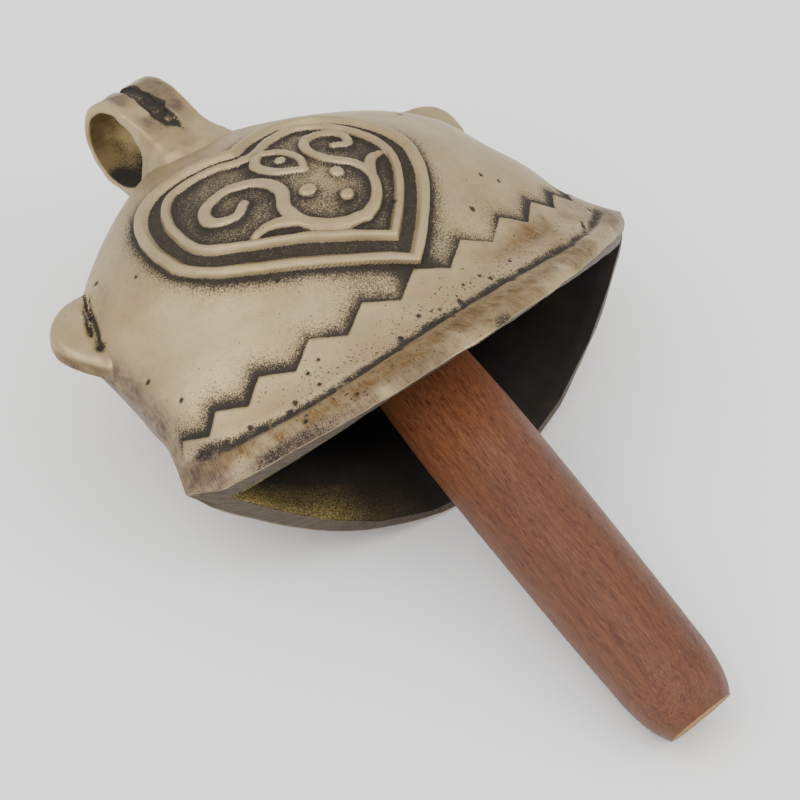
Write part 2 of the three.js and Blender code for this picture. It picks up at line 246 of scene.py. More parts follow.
# A mirrored scroll with leaves and pellets, drawn for the right side: points, then half widths
SCROLL = [(0.0, 15.0), (4.8, 16.6), (8.4, 20.6), (8.6, 25.6), (6.0, 30.2), (6.2, 35.6), (9.8, 39.8),
          (14.6, 39.2), (16.4, 35.2), (14.0, 32.0), (11.2, 33.4)]
LEAF = [(8.8, 21.6), (12.6, 24.8), (17.4, 25.2)]
PETAL = [(0.0, 44.2), (3.0, 40.4), (2.8, 35.2), (0.0, 31.4)]
PELLETS = [(3.6, 26.0, 1.5), (0.0, 20.2, 1.2), (0.0, 37.8, 1.0)]
ORNAMENT_LEFT, ORNAMENT_RIGHT, ORNAMENT_AXIS = 1.2, 0.84, -1.4


def ornament_distance(plan):
    """Distance to the raised ornament, negative on it."""
    x = plan[:, 0] - ORNAMENT_AXIS
    best = np.full(len(plan), 1e9)
    for side, stretch in ((-1, ORNAMENT_LEFT), (1, ORNAMENT_RIGHT)):
        own = np.stack([side * x / stretch, plan[:, 1]], -1)
        for stroke, half, tip in ((SCROLL, 1.15, 0.9), (LEAF, 1.2, 0.1), (PETAL, 0.95, 0.8)):
            line = through(stroke)
            taper = half + (tip - half) * np.linspace(0, 1, len(line)) ** 3
            best = np.minimum(best, line_distance(own, line, taper))
        for px, py, radius in PELLETS:
            best = np.minimum(best, np.hypot(own[:, 0] - px, own[:, 1] - py) - radius)
    return best


TOOTH_TURN, TOOTH_FIRST, TOOTH_DEPTH = 13.3, -7.4, 3.3


def zigzag_line():
    """The sawtooth edge across the front: tips towards the rim, valleys between them."""
    points = []
    for half_step in range(-10, 12):
        swing = math.radians(TOOTH_FIRST + TOOTH_TURN * half_step / 2)
        x = 55 * math.sin(swing)
        tip = -0.5 + 8.5 * (x / 55) ** 2
        points.append((x, tip + TOOTH_DEPTH * (half_step % 2)))
    return np.array([(-58, 14), *points, (58, 14)])


def groove_level(x):
    u = x / HALF_WIDTHS[0]
    return -8.7 - 1.5 * u + 3 * u**2 + 17 * u**4


def ridge_profile(value, start, end, edge=0.75):
    return smooth(start, start + edge, value) * smooth(-end, -end + edge, -value)


def ear_root_marks(reach, y, points):
    """Two slits and a pit where the left ear bends out of the shoulder, and a brown shade along its
    root, partly stain and partly painted shade.
    """
    root = reach - 46.5 + 0.56 * (y - 37.2) + 0.25 * grain.at(points, 3)
    slit = np.exp(-((root / 0.5) ** 2)) * smooth(36.3, 38.5, y) * smooth(50, 48, y)
    slit += np.exp(-(((root - 1.1) / 0.4) ** 2)) * smooth(39, 41, y) * smooth(47.5, 45, y)
    for mark_reach, mark_y in ((46.8, 36.6), (39.6, 50.2)):
        slit += np.exp(-(((reach - mark_reach) ** 2 + (y - mark_y) ** 2) / 1.1))
    # shade: brown on the shoulder beside the ear's root, partly stain and partly painted shade where
    # ear and shoulder meet
    shade = np.exp(-(((root + 2.6) / 1.8) ** 2)) * smooth(38, 42, y) * smooth(50, 47, y)
    return np.clip(slit, 0, 1.1), shade


# Rises and depths of the front's relief, in millimetres over the smooth shell
OUTER_RIDGE, INNER_RIDGE, CHANNEL_DEPTH, HALO_DEPTH = 1.1, 1.0, 0.35, 0.35
FIELD_DEPTH, STROKE_RISE, TOOTH_RECESS = 0.4, 1.2, 0.6
GROOVE_DEPTH, BEAD_RISE, RIM_ROUND, SCOOP_DEPTH, SLIT_DEPTH = 0.7, 0.5, 0.9, 0.7, 0.45
MOUTH = HALF_WIDTHS[0]


def near(points, centre, spread):
    """A soft spot: one at the centre, falling away over the spread in x and in y."""
    return np.exp(-(((points[:, 0] - centre[0]) / spread[0]) ** 2)
                  - ((points[:, 1] - centre[1]) / spread[1]) ** 2)


def heart_relief(points, cloud):
    """The two ridges, the channel, and the field with its ornament: height, patina and edges."""
    plan = points[:, :2]
    inset = line_distance(plan, HEART)
    inset = np.where(inside_of(plan, HEART), inset, -inset) + 0.12 * grain.at(points, 3)
    second = RIDGE + CHANNEL
    field_edge = second + RIDGE - 0.2
    field = smooth(field_edge - 0.2, field_edge + 0.5, inset)
    stroke_gap = ornament_distance(plan) + 0.08 * grain.at(points, 1.5)
    stroke = smooth(0.55, -0.45, stroke_gap) * field
    outside = np.maximum(-inset, 0)
    beyond = smooth(0.2, -0.4, inset)

    height = OUTER_RIDGE * ridge_profile(inset, -0.35, RIDGE)
    height += INNER_RIDGE * ridge_profile(inset, second, field_edge + 0.2)
    height -= CHANNEL_DEPTH * ridge_profile(inset, RIDGE - 0.2, second + 0.3)
    height += field * (STROKE_RISE * stroke - FIELD_DEPTH)
    height -= HALO_DEPTH * np.exp(-outside / 1.1) * beyond

    edge_gap = np.minimum(np.abs(stroke_gap), np.maximum(inset - field_edge, 0))
    worn = near(points, (-1, 28), (30**0.5, 60**0.5)) + smooth(0.1, 0.9, grain.at(points, 8))
    field_dark = 0.76 + 0.4 * np.exp(-edge_gap / 1.2) + 0.22 * cloud - 0.28 * worn
    patina = smooth(RIDGE - 0.6, RIDGE, inset) * smooth(second + 0.6, second, inset)
    patina += smooth(field_edge - 0.6, field_edge, inset) * field_dark
    patina += beyond * (0.95 * np.exp(-outside / 1.3) + (0.48 + 0.15 * cloud) * np.exp(-outside / 4.2))
    edge = np.maximum.reduce([
        np.minimum(inset - RIDGE, second - inset), np.minimum(inset - field_edge, stroke_gap), -inset])
    return height, patina, edge, inset, beyond


def sawtooth_relief(points, cloud, inset, beyond):
    """The recess above the sawtooth edge, fading out towards the crown."""
    x, y = points[:, 0], points[:, 1]
    teeth = zigzag_line()
    above = y > np.interp(x, teeth[:, 0], teeth[:, 1])
    gap = line_distance(points[:, :2], teeth)
    gap = np.where(above, gap, -gap) + 0.1 * grain.at(points, 2)
    span = smooth(55, 52.5, np.abs(x)) * (inset < 0.8)
    up = np.maximum(gap, 0)
    fade = 5.5 + 2.0 * grain.at(points, 14)
    height = -TOOTH_RECESS * smooth(-0.3, 0.4, gap) * np.exp(-up / fade) * span * beyond
    patina = span * (0.6 + 0.25 * cloud) * np.exp(-up / 1.4)
    patina += span * (0.4 + 0.15 * cloud) * np.exp(-up / (4.5 + 1.5 * grain.at(points, 11)))
    patina += 0.6 * span * np.exp(-up / 2.2) * smooth(22, 38, np.abs(x))
    pitting = 0.4 * np.exp(-up / 6) * span
    return height, patina, gap, pitting


def groove_relief(points, cloud, rough):
    """The dark groove above the bead."""
    x, y = points[:, 0], points[:, 1]
    line = np.abs(y - groove_level(x) - 0.5 * grain.at(points, 7)) * (1 - 0.35 * (x / MOUTH) ** 2)
    width = 1.0 + 0.35 * grain.at(points, 5) + 0.6 * smooth(-40, -48, x)
    cut = np.exp(-((line / width) ** 2)) * smooth(57, 53, np.abs(x))
    spotty = 0.80 + 0.25 * rough + 0.25 * grain.at(points, 2.5) - 0.12 * smooth(5, 30, x)
    grime_and_shade = cut * spotty + 0.34 * np.exp(-line / 3.0) * (0.6 + cloud)
    pitting = np.exp(-((line - 2.5) / 4.5) ** 2) * smooth(-50, -30, x)
    return -GROOVE_DEPTH * cut, grime_and_shade, pitting


def rim_relief(points, cloud):
    """The bead along the rim, with a worn scoop, and the brown and plum toning on it; the brown in the
    scoop is partly painted shade.
    """
    x, y = points[:, 0], points[:, 1]
    rim = -RIM_SAG * (1 - (x / MOUTH) ** 2)
    from_rim = y - rim
    bead = np.sin(math.pi * np.clip(from_rim / np.maximum(groove_level(x) - rim, 1), 0, 1))
    scoop = np.exp(-(((x - 24) / 13) ** 2) - ((y + 3.2 - 0.0028 * x**2) / 2.6) ** 2)
    height = BEAD_RISE * bead - RIM_ROUND * (1 - smooth(0, 2.2, from_rim)) ** 2 - SCOOP_DEPTH * scoop
    streak = grain.at(np.stack([x / 1.6, y / 5, x * 0], -1), 1)
    stain_and_shade = (1.25 - 0.1 * smooth(-10, 30, x)) * bead * smooth(-0.85, 0.15, cloud + 0.4 * streak)
    # The brown in the scoop is partly stain and partly painted shade of the dip.
    stain_and_shade += 0.9 * scoop + 0.5 * smooth(2.5, 0.3, from_rim) * smooth(-0.4, 0.4, cloud)
    blotch = smooth(0.0, 0.4, grain.at(points, 7)) * smooth(34, 8, x)
    smear = np.exp(-(((x + 41) / 9) ** 2)) * smooth(3.4, 1.2, from_rim + 0.8 * cloud)
    grime_and_shade = 0.75 * smooth(2.8, 0.6, from_rim) * blotch + 0.55 * smear
    near_rim = smooth(4.2, 0.8, from_rim) * smooth(-0.3, 0.3, cloud)
    plum = 0.9 * near_rim * smooth(-8, 24, -x + 14 * cloud) + 0.8 * smear
    return height, grime_and_shade, stain_and_shade, plum


def shoulder_marks(points):
    """The left ear's slits, a faint painted shadow line between two pits where the right ear meets the
    shoulder, and the left ear's brown root shade, partly painted shade.
    """
    slit, shade = ear_root_marks(-points[:, 0], points[:, 1], points)
    line = np.array([(32.5, 39.5), (37.5, 36.0), (42.2, 33.8)])
    # The faint line is painted shadow along the right ear's root; the slits and pits are dark patina.
    grime_and_shade = 1.15 * slit + 0.25 * np.exp(-((line_distance(points[:, :2], line) / 0.8) ** 2))
    for mark in line[[0, 2]]:
        grime_and_shade += near(points, mark, (0.5**0.5, 0.5**0.5))
    return -SLIT_DEPTH * slit, grime_and_shade, 0.5 * shade


def front_relief(points):
    """Height over the smooth front in millimetres, and the finish there."""
    x, y, z = points.T
    rough = grain.at(points, 0.9)
    cloud = grain.at(points, 9) * 0.6 + grain.at(points, 3.5) * 0.4
    height, patina, edge, inset, beyond = heart_relief(points, cloud)
    recess, tooth_patina, gap, tooth_pitting = sawtooth_relief(points, cloud, inset, beyond)
    cut, grime_and_shade, groove_pitting = groove_relief(points, cloud, rough)
    bead, rim_grime, stain_and_shade, plum = rim_relief(points, cloud)
    slit, shoulder_grime_and_shade, shade = shoulder_marks(points)

    patina = patina + tooth_patina
    gate = np.minimum(edge, gap)
    waves = 0.16 * grain.at(points, 16) + 0.05 * grain.at(points, 4)
    coarse = 0.09 * rough * np.clip(patina * smooth(-0.1, 0.3, gate) + grime_and_shade, 0, 1)
    height = height + recess + cut + bead + slit + waves + coarse
    # shoulder_grime_and_shade holds the slits' and pits' patina and the painted shadow line at the
    # right ear's root.
    grime_and_shade = grime_and_shade + rim_grime + shoulder_grime_and_shade
    # shade adds the brown painted shade beside the left ear's root to the stain.
    stain_and_shade += 0.22 * smooth(0.1, 0.8, grain.at(points, 12)) + shade
    stain_and_shade += 0.7 * near(points, (2, 61), (19, 5.5)) * (0.8 + 0.5 * cloud)
    stain_and_shade += 0.65 * smooth(16, 34, x) * smooth(10, 3, y) * smooth(-0.35, 0.4, cloud)
    plum += 0.35 * smooth(6, 0, 49 - x) * smooth(40, 28, y)
    flank = smooth(7.0, 1.0, z) * smooth(-22, -15, z) * (x < 0) * smooth(37, 31, y)

    facing, shown = smooth(0.5, 4, z), smooth(-1.5, 0.0, z)
    finish = {"patina": patina * facing, "grime_and_shade": grime_and_shade * facing, "gate": gate,
              "stain_and_shade": stain_and_shade * shown, "plum": plum * shown + 1.5 * flank * (0.9 + 0.4 * cloud),
              "pitting": (groove_pitting + tooth_pitting) * shown}
    return height * facing, finish


PIT_COUNT, PIT_DEPTH, PITS_BY_GROOVE = 46, 0.25, 0.62


def pits(points, height, grime_and_shade):
    """Small casting pits, thickest along the groove."""
    x = rng.uniform(-50, 50, PIT_COUNT)
    low = rng.random(PIT_COUNT) < PITS_BY_GROOVE
    along_groove = groove_level(x) + rng.normal(0.8, 2.6, PIT_COUNT)
    y = np.where(low, along_groove, rng.uniform(0, 50, PIT_COUNT))
    radius = rng.uniform(0.3, 0.5, PIT_COUNT)
    for px, py, r in zip(x, y, radius):
        gap = np.hypot(points[:, 0] - px, (points[:, 1] - py) * 0.9)
        dip = np.exp(-((gap / r) ** 2)) * (points[:, 2] > 2)
        height -= PIT_DEPTH * dip
        grime_and_shade += 1.3 * dip


# ---- meshes ----
def new_object(name, vertices, faces, finish=None, smooth_faces=True):
    mesh = bpy.data.meshes.new(name)
    mesh.from_pydata(vertices.tolist(), [], faces)
    mesh.update()
    mesh.validate()
    mesh.polygons.foreach_set("use_smooth", [smooth_faces] * len(mesh.polygons))
    obj = bpy.data.objects.new(name, mesh)
    bpy.context.scene.collection.objects.link(obj)
    paint(obj, finish or {})
    return obj


def paint(obj, finish):
    """Stores each finish value at the mesh's points, for its material to read."""
    for key, values in finish.items():
        values = np.asarray(values, np.float32)
        kind = "FLOAT_VECTOR" if values.ndim == 2 else "FLOAT"
        layer = obj.data.attributes.new(key, kind, "POINT")
        layer.data.foreach_set("vector" if values.ndim == 2 else "value", values.ravel())


def grid_faces(row_count, column_count, first=0, flip=False):
    faces = []
    for k in range(row_count - 1):
        low, high = first + k * column_count, first + (k + 1) * column_count
        for i in range(column_count):
            j = (i + 1) % column_count
            face = (low + i, low + j, high + j, high + i)
            faces.append(face[::-1] if flip else face)
    return faces


def pole_faces(ring_first, column_count, pole, flip=False):
    faces = []
    for i in range(column_count):
        face = (ring_first + i, ring_first + (i + 1) % column_count, pole)
        faces.append(face[::-1] if flip else face)
    return faces


CORNER_PULL, CORNER_LIFT = 0.8, 1.6


def outer_skin(turns, levels):
    """The outer surface with its relief, wavy edge and rounded corners, and its finish."""
    count = len(turns)
    grid = surface(*np.meshgrid(turns, levels))
    flat, outward = grid.reshape(-1, 3), normals_of(grid).reshape(-1, 3)
    height, finish = front_relief(flat)
    back = smooth(1.0, -2.0, flat[:, 2])
    height += back * (0.25 * grain.at(flat, 13) + 0.06 * grain.at(flat, 4))
    finish["grime_and_shade"] += 0.35 * back * smooth(0.1, 0.8, grain.at(flat, 10))
    finish["stain_and_shade"] += 0.6 * back * smooth(0.0, 0.7, grain.at(flat + 40, 15))
    pits(flat, height, finish["grime_and_shade"])
    level_of = np.repeat(levels, count)
    height *= smooth(CROWN - 0.02, CROWN - 1.5, level_of)
    outer = flat + outward * height[:, None]
    outer[:count, 1] += 0.25 * grain.at(flat[:count], 6) + 0.12 * grain.at(flat[:count], 2)
    corner = smooth(MOUTH - 5, MOUTH, np.abs(flat[:, 0])) * (1 - smooth(0, 4, level_of))
    outer[:, 0] -= CORNER_PULL * corner * np.sign(flat[:, 0])
    outer[:, 1] += CORNER_LIFT * corner
    return outer, finish


def inner_skin(turns, levels, top):
    """The inner surface, nearer the outer one at the rim, with a ragged cast skin."""
    turn_grid, level_grid = np.meshgrid(turns, levels)
    share = np.minimum(level_grid / SHOULDER, 1)
    side, face = MOUTH_WEB + (WALL - MOUTH_WEB) * share, RIM_WALL + (WALL - RIM_WALL) * share
    grid = surface(turn_grid, level_grid, side, face, top)
    inner = grid.reshape(-1, 3)
    ragged = 0.3 * grain.at(inner, 5) + 0.18 * grain.at(inner, 2)
    return inner - normals_of(grid).reshape(-1, 3) * np.clip(ragged, -0.25, 0.25)[:, None]


def rim_face(outer_edge, inner_edge):
    """Rows of points across the rim's face, from the outer edge to the coarser inner one."""
    ring_at = np.arange(len(outer_edge)) / INNER_SKIP
    whole = np.floor(ring_at).astype(int)
    part = (ring_at - whole)[:, None]
    last = inner_edge[whole % len(inner_edge)] * (1 - part)
    last += inner_edge[(whole + 1) % len(inner_edge)] * part
    shares = np.arange(1, RIM_ROWS) / RIM_ROWS
    rim = np.concatenate([outer_edge + (last - outer_edge) * s for s in shares])
    rim[:, 1] += -0.12 + 0.1 * grain.at(rim, 1.4)
    return rim


def shell_faces(outer_rows, count, inner_rows, inner_count):
    """Faces of the outer surface, the inner surface and the rim, in that order of points."""
    outer_pole = outer_rows * count
    inner_first = outer_pole + 1
    inner_pole = inner_first + inner_rows * inner_count
    faces = grid_faces(outer_rows, count)
    faces += pole_faces(outer_pole - count, count, outer_pole)
    faces += grid_faces(inner_rows, inner_count, inner_first, flip=True)
    faces += pole_faces(inner_pole - inner_count, inner_count, inner_pole, flip=True)
    rings = [0, *(inner_pole + 1 + i * count for i in range(RIM_ROWS - 1))]
    for a, b in zip(rings, rings[1:]):
        for i in range(count):
            j = (i + 1) % count
            faces.append((a + j, a + i, b + i, b + j))
    for i in range(inner_count):
        wide = [rings[-1] + (i * INNER_SKIP + k) % count for k in range(INNER_SKIP, -1, -1)]
        faces.append((*wide, inner_first + i, inner_first + (i + 1) % inner_count))
    return faces


def build_shell():
    """The bell as one closed wall: outer surface, its pole, inner surface, its pole, rim face."""
    turns, levels = columns(), rows(SIDE_ROWS, CAP_ROWS, CROWN)
    inner_top = CROWN - CROWN_WALL
    inner_turns = turns[::INNER_SKIP]
    inner_levels = rows(INNER_ROWS // 2, INNER_ROWS - INNER_ROWS // 2, inner_top)
    count, inner_count = len(turns), len(inner_turns)
    outer, finish = outer_skin(turns, levels)
    inner = inner_skin(inner_turns, inner_levels, inner_top)
    rim = rim_face(outer[:count], inner[:inner_count])
    vertices = np.concatenate([outer, [(0, CROWN, 0)], inner, [(0, inner_top, 0)], rim])
    inner_first = len(outer) + 1
    rim_first = inner_first + len(inner) + 1
    outer_part, inner_part = slice(0, len(outer)), slice(inner_first, rim_first - 1)

    # zone: inside the bell, on the rim's face, and how olive the inside is
    zone = np.zeros((len(vertices), 3))
    zone[inner_first:rim_first, 0] = 1
    zone[rim_first:, 1] = 1
    zone[:count, 1] = zone[inner_first:inner_first + inner_count, 1] = 0.5
    depth_in = np.repeat(inner_levels, inner_count)
    zone[inner_part, 2] = smooth(9, 1, depth_in) * smooth(-18, -36, inner[:, 0])

    # trace: distance along the rim in millimetres, and the level
    step = np.linalg.norm(np.roll(outer[:count], -1, axis=0) - outer[:count], axis=1)
    along = np.concatenate([[0], np.cumsum(step)[:-1]])
    trace = np.zeros((len(vertices), 3))
    trace[outer_part, 0] = np.tile(along, len(levels))
    trace[outer_part, 1] = np.repeat(levels, count)
    trace[inner_part, 0] = np.tile(along[::INNER_SKIP], len(inner_levels))
    trace[rim_first:, 0] = np.tile(along, RIM_ROWS - 1)

    values = {key: np.zeros(len(vertices)) for key in finish}
    for key in values:
        values[key][outer_part] = np.clip(finish[key], -5, 1.3)
    faces = shell_faces(len(levels), count, len(inner_levels), inner_count)
    return new_object("bell_shell_cast", to_row(vertices), faces,
                      {**values, "zone": zone, "trace": trace})


def smoothed_copy(node, voxel, rounds):
    """The node's mesh, remeshed finely and smoothed: its mesh, points and normals."""
    source = frame["nodes"][node]
    rough = bpy.data.objects.new("rough", source.data.copy())
    bpy.context.scene.collection.objects.link(rough)
    remesh = rough.modifiers.new("fine", "REMESH")
    remesh.mode, remesh.voxel_size = "VOXEL", voxel * MM
    soften = rough.modifiers.new("soften", "SMOOTH")
    soften.factor, soften.iterations = 0.5, rounds
    bpy.context.view_layer.update()
    evaluated = rough.evaluated_get(bpy.context.evaluated_depsgraph_get())
    mesh = bpy.data.meshes.new_from_object(evaluated)
    bpy.data.objects.remove(rough)
    points = np.empty(len(mesh.vertices) * 3)
    outward = np.empty_like(points)
    mesh.vertices.foreach_get("co", points)
    mesh.vertices.foreach_get("normal", outward)
    return mesh, points.reshape(-1, 3), outward.reshape(-1, 3)


def refined(node, name, voxel, rounds, shape, soft_rounds=0, softness=None):
    """A fine copy of a CAD node, smoothed more where softness asks, then shaped by its points."""
    mesh, points, outward = smoothed_copy(node, voxel, rounds)
    if softness:
        _, soft_points, soft_outward = smoothed_copy(node, voxel, soft_rounds)
        share = softness(points)[:, None]
        points = points + (soft_points - points) * share
        outward = outward + (soft_outward - outward) * share
    moved, finish = shape(points, outward)
    mesh.vertices.foreach_set("co", moved.ravel())
    mesh.polygons.foreach_set("use_smooth", [True] * len(mesh.polygons))
    mesh.update()
    mesh.materials.clear()
    obj = bpy.data.objects.new(name, mesh)
    bpy.context.scene.collection.objects.link(obj)
    paint(obj, finish)
    return obj


FOOT_SINK = 0.7


def run_into_shell(points, outward, spread, reach):
    """Spreads a casting's foot over the shell, so that the two meet without a step."""
    nearest = [SHELL_TREE.find_nearest(Vector(point)) for point in points]
    gap = np.array([hit[3] for hit in nearest]) / MM
    under = np.array([hit[1] for hit in nearest])
    across = outward - np.sum(outward * under, axis=1, keepdims=True) * under
    close = (1 - np.clip(gap / reach, 0, 1)) ** 2
    moved = points + across * (spread * close * MM)[:, None]
    return moved - under * (FOOT_SINK * smooth(1.4, 0.5, gap) * MM)[:, None], gap


def in_bell(points, outward):
    """Points and unit normals of the row's frame, in the bell's own."""
    n = outward @ np.array(LIE.to_3x3().inverted() * MM).T
    return to_bell(points), n / np.linalg.norm(n, axis=1, keepdims=True)


LOOP_LEVEL, LOOP_OUTER, LOOP_HOLE, LOOP_OFFSET, LOOP_HALF = 79.0, 10.0, 8.0, 1.2, 6.9


def loop_root_softness(points):
    """One at the foot of the loop, none from its hole upwards."""
    return smooth(-4, -10, to_bell(points)[:, 1] - LOOP_LEVEL)


def shape_loop(points, outward):
    """The hanger loop: round band, split groove, worn edges and a root run onto the crown."""
    points, shell_gap = run_into_shell(points, outward, 1.5, 4.0)
    p, n = in_bell(points, outward)
    y, z = p[:, 1] - LOOP_LEVEL, p[:, 2]
    radius = np.where(y > 0, np.hypot(y, z), np.abs(z))
    x = p[:, 0] - LOOP_OFFSET
    gap = np.abs(x - 0.8 * grain.at(p, 6))
    outside = smooth(LOOP_OUTER - 1.4, LOOP_OUTER - 0.6, radius)
    front = smooth(-2, 2, z)
    wide = 1.25 + 0.5 * grain.at(p, 3) + 0.9 * smooth(2, -6, y) * front
    cut = smooth(wide + 0.5, wide - 0.3, gap + 0.4 * grain.at(p, 1.5)) * outside
    cut *= smooth(-12, -8, y + 2 * grain.at(p, 2.2))
    within = smooth(LOOP_HALF + 0.2, LOOP_HALF - 0.3, np.abs(x))
    hole = smooth(LOOP_HOLE + 0.8, LOOP_HOLE + 0.2, np.hypot(y, z)) * within
    crumble = smooth(0.05, 0.45, grain.at(p + 9, 1.8)) * np.exp(-((gap / 3.2) ** 2)) * smooth(3, -4, y)
    crumble *= smooth(-14, -10, y) * outside * front
    height = -0.4 * cut - 0.45 * crumble + 0.16 * grain.at(p, 3) + 0.08 * grain.at(p, 1.2)
    height += hole * (0.25 * grain.at(p, 2.5) + 0.1)
    p += n * height[:, None]
    cloud = grain.at(p, 4)
    # Darker towards the bottom and back of the hole.
    bottom = smooth(2.5, 6.5, -0.54 * y - 0.70 * z)
    grime_and_shade = 1.15 * cut * (0.9 + 0.3 * cloud) + 1.0 * crumble
    grime_and_shade += 0.3 * smooth(3.0, 1.4, gap) * outside * smooth(-9, -5, y)
    # Outside the hole, the dark band where the loop meets the crown is painted shade.
    grime_and_shade += hole * (0.26 + 0.9 * bottom + 0.35 * cloud) + 0.3 * np.exp(-shell_gap / 0.6) * (1 - hole)
    stain_and_shade = hole * (0.3 - 0.2 * cloud) + 0.4 * smooth(0.0, 0.6, grain.at(p + 20, 5))
    stain_and_shade += 0.5 * np.exp(-shell_gap / 2.0) * smooth(-0.3, 0.4, cloud)
    plum = 1.0 * smooth(-0.45, 0.15, grain.at(p + 31, 4.5)) * outside * smooth(6.2, 4.6, gap)
    plum *= smooth(-11, -6, y)
    bare = 1 - cut
    return to_row(p), {"grime_and_shade": grime_and_shade, "stain_and_shade": stain_and_shade * bare, "plum": plum * bare,
                       "gilt": hole * (0.7 + 0.3 * cloud)}


def shape_ear(points, outward):
    """An ear: a thin flap run out of the shoulder, with slits or a painted shade line at its root, and
    painted shade on its underside.
    """
    points, shell_gap = run_into_shell(points, outward, 1.6, 3.0)
    p, n = in_bell(points, outward)
    side = np.sign(p[:, 0].mean())
    front = smooth(0.1, 0.5, n[:, 2])
    slit = np.zeros(len(p))
    if side < 0:
        slit, _ = ear_root_marks(-p[:, 0], p[:, 1], p)
    slit = slit * front
    height = 0.14 * grain.at(p, 4) + 0.06 * grain.at(p, 1.5) - 0.5 * slit
    p += n * height[:, None]
    # Painted shade, in brown, dark and plum, on faces turned down and away from the front.
    underside_shade = smooth(0.4, -0.15, n[:, 2] + 0.5 * n[:, 1])
    stain_and_shade = 0.3 * smooth(0.0, 0.6, grain.at(p + 7, 6)) + 0.9 * underside_shade
    # On the right ear, the brown band and the dark band along the root, where it meets the shoulder,
    # are painted shade, partly stain.
    stain_and_shade += 0.6 * np.exp(-shell_gap / 1.4) * front * (side > 0)
    grime_and_shade = 1.1 * slit + 0.4 * underside_shade * smooth(-0.2, 0.4, grain.at(p, 2))
    grime_and_shade += 0.8 * np.exp(-shell_gap / 0.5) * (side > 0) * smooth(-0.4, 0.3, grain.at(p, 3))
    return to_row(p), {"grime_and_shade": grime_and_shade, "stain_and_shade": stain_and_shade, "plum": 0.5 * underside_shade}


def shape_forged(points, outward):
    """Forged wire: light hammer marks and scale."""
    p = points / MM
    height = 0.09 * grain.at(p, 2.2) + 0.04 * grain.at(p, 0.8)
    scale = smooth(0.0, 0.7, grain.at(p + 5, 3))
    return (p + outward * height[:, None]) * MM, {"grime_and_shade": scale}


# ---- the clapper, in its own frame: y along the rod, its wire's centre at the origin ----
ROD_LENGTH, ROD_BELLY, ROD_SHOULDER, ROD_HEAD, SAWN_FACE = 112.0, 10.1, 9.3, 8.2, 5.6
BORE_RADIUS, BORE_DEPTH = 2.0, 17.5
SAW_TILT, SAW_TWIST, LEAN = math.radians(18), math.radians(11), math.radians(12)
ROD_AROUND = 128


def rod_profile(top):
    """Radius and height along the rod, from its sawn end up to the bored top."""
    foot = top - ROD_LENGTH
    def quad(a, b, c, count):
        t = np.linspace(0, 1, count, endpoint=False)[:, None]
        return (1 - t) ** 2 * np.array(a) + 2 * t * (1 - t) * np.array(b) + t * t * np.array(c)
    end = bezier((SAWN_FACE - 1.2, foot - 2), [
        (SAWN_FACE + 2.2, foot + 0.4, ROD_SHOULDER, foot + 6, ROD_SHOULDER, foot + 14)], 60)[:-1]
    lower = quad((ROD_SHOULDER, foot + 14), (ROD_BELLY + 0.2, foot + 45), (ROD_BELLY, foot + 72), 120)
    upper = quad((ROD_BELLY, foot + 72), (ROD_BELLY - 0.2, foot + 90), (ROD_HEAD + 0.4, top - 6), 80)
    head = quad((ROD_HEAD + 0.4, top - 6), (ROD_HEAD + 0.1, top - 1), (ROD_HEAD - 1.6, top), 20)
    face = np.array([(ROD_HEAD - 1.6, top), (5.0, top + 0.02), (3.2, top), (BORE_RADIUS, top)])
    bore = np.array([(BORE_RADIUS, top - 6), (BORE_RADIUS, top - BORE_DEPTH)])
    cap = np.linspace(0.3, 1, 14, endpoint=False)[:, None] * np.array([SAWN_FACE - 1.2, 0])
    return np.concatenate([cap + (0, foot - 2), end, lower, upper, head, face, bore])


def build_rod():
    """The wooden rod about its own axis, its foot sawn off slanting, hung from its joint."""
    sway = next(j for j in frame["joints"] if j["name"] == "clapper_sway")
    tilt = math.atan2(-sway["axis"][1], sway["axis"][2])
    place = (Matrix.Translation(Vector(sway["pos_m"])) @ Matrix.Rotation(tilt, 4, "X")
             @ Matrix.Rotation(-LEAN, 4, "Z") @ Matrix.Scale(MM, 4))
    link_wire, slack, eye_wire, eye_hole, collar = 1.5, 0.35, 1.5, 4.0, 3.0
    top = link_wire + slack - 2 * eye_hole - eye_wire - collar
    profile = rod_profile(top)
    angle = 2 * math.pi * np.arange(ROD_AROUND) / ROD_AROUND
    ring = np.stack([np.cos(angle), np.zeros(ROD_AROUND), np.sin(angle)], -1)
    around, along = profile[:, 0, None, None], profile[:, 1, None, None]
    points = (around * ring + along * np.array([0, 1, 0])).reshape(-1, 3)
    points = np.concatenate([points, [(0, top - ROD_LENGTH - 2, 0), (0, top - BORE_DEPTH, 0)]])
    radial = points * (1, 0, 1)
    radial /= np.maximum(np.linalg.norm(radial, axis=1, keepdims=True), 1e-6)
    stretch = points * (1, 0.07, 1)
    skin = np.hypot(points[:, 0], points[:, 2]) > BORE_RADIUS + 0.2
    height = 0.1 * grain.at(stretch, 6) + 0.04 * grain.at(stretch, 1.3) + 0.03 * grain.at(stretch, 0.6)
    points += radial * (height * skin)[:, None]
    saw = Matrix.Rotation(SAW_TWIST, 3, "Z") @ Matrix.Rotation(SAW_TILT, 3, "X") @ Vector((0, 1, 0))
    foot = top - ROD_LENGTH
    plane = foot - (points[:, 0] * saw.x + points[:, 2] * saw.z) / saw.y
    depth = plane - points[:, 1]
    sawn = smooth(-0.15, 0.15, depth)
    fuzz = 0.18 * np.abs(grain.at(points, 0.5)) * (depth > 0)
    points[:, 1] = np.where(depth > 0, plane + fuzz, points[:, 1])
    count = len(profile)
    faces = grid_faces(count, ROD_AROUND, flip=True)
    faces += pole_faces(0, ROD_AROUND, count * ROD_AROUND)
    faces += pole_faces((count - 1) * ROD_AROUND, ROD_AROUND, count * ROD_AROUND + 1, flip=True)
    m = np.array(place)
    moved = points @ m[:3, :3].T + m[:3, 3]
    return new_object("clapper_rod_wood", moved, faces, {"rod": points, "sawn": sawn})


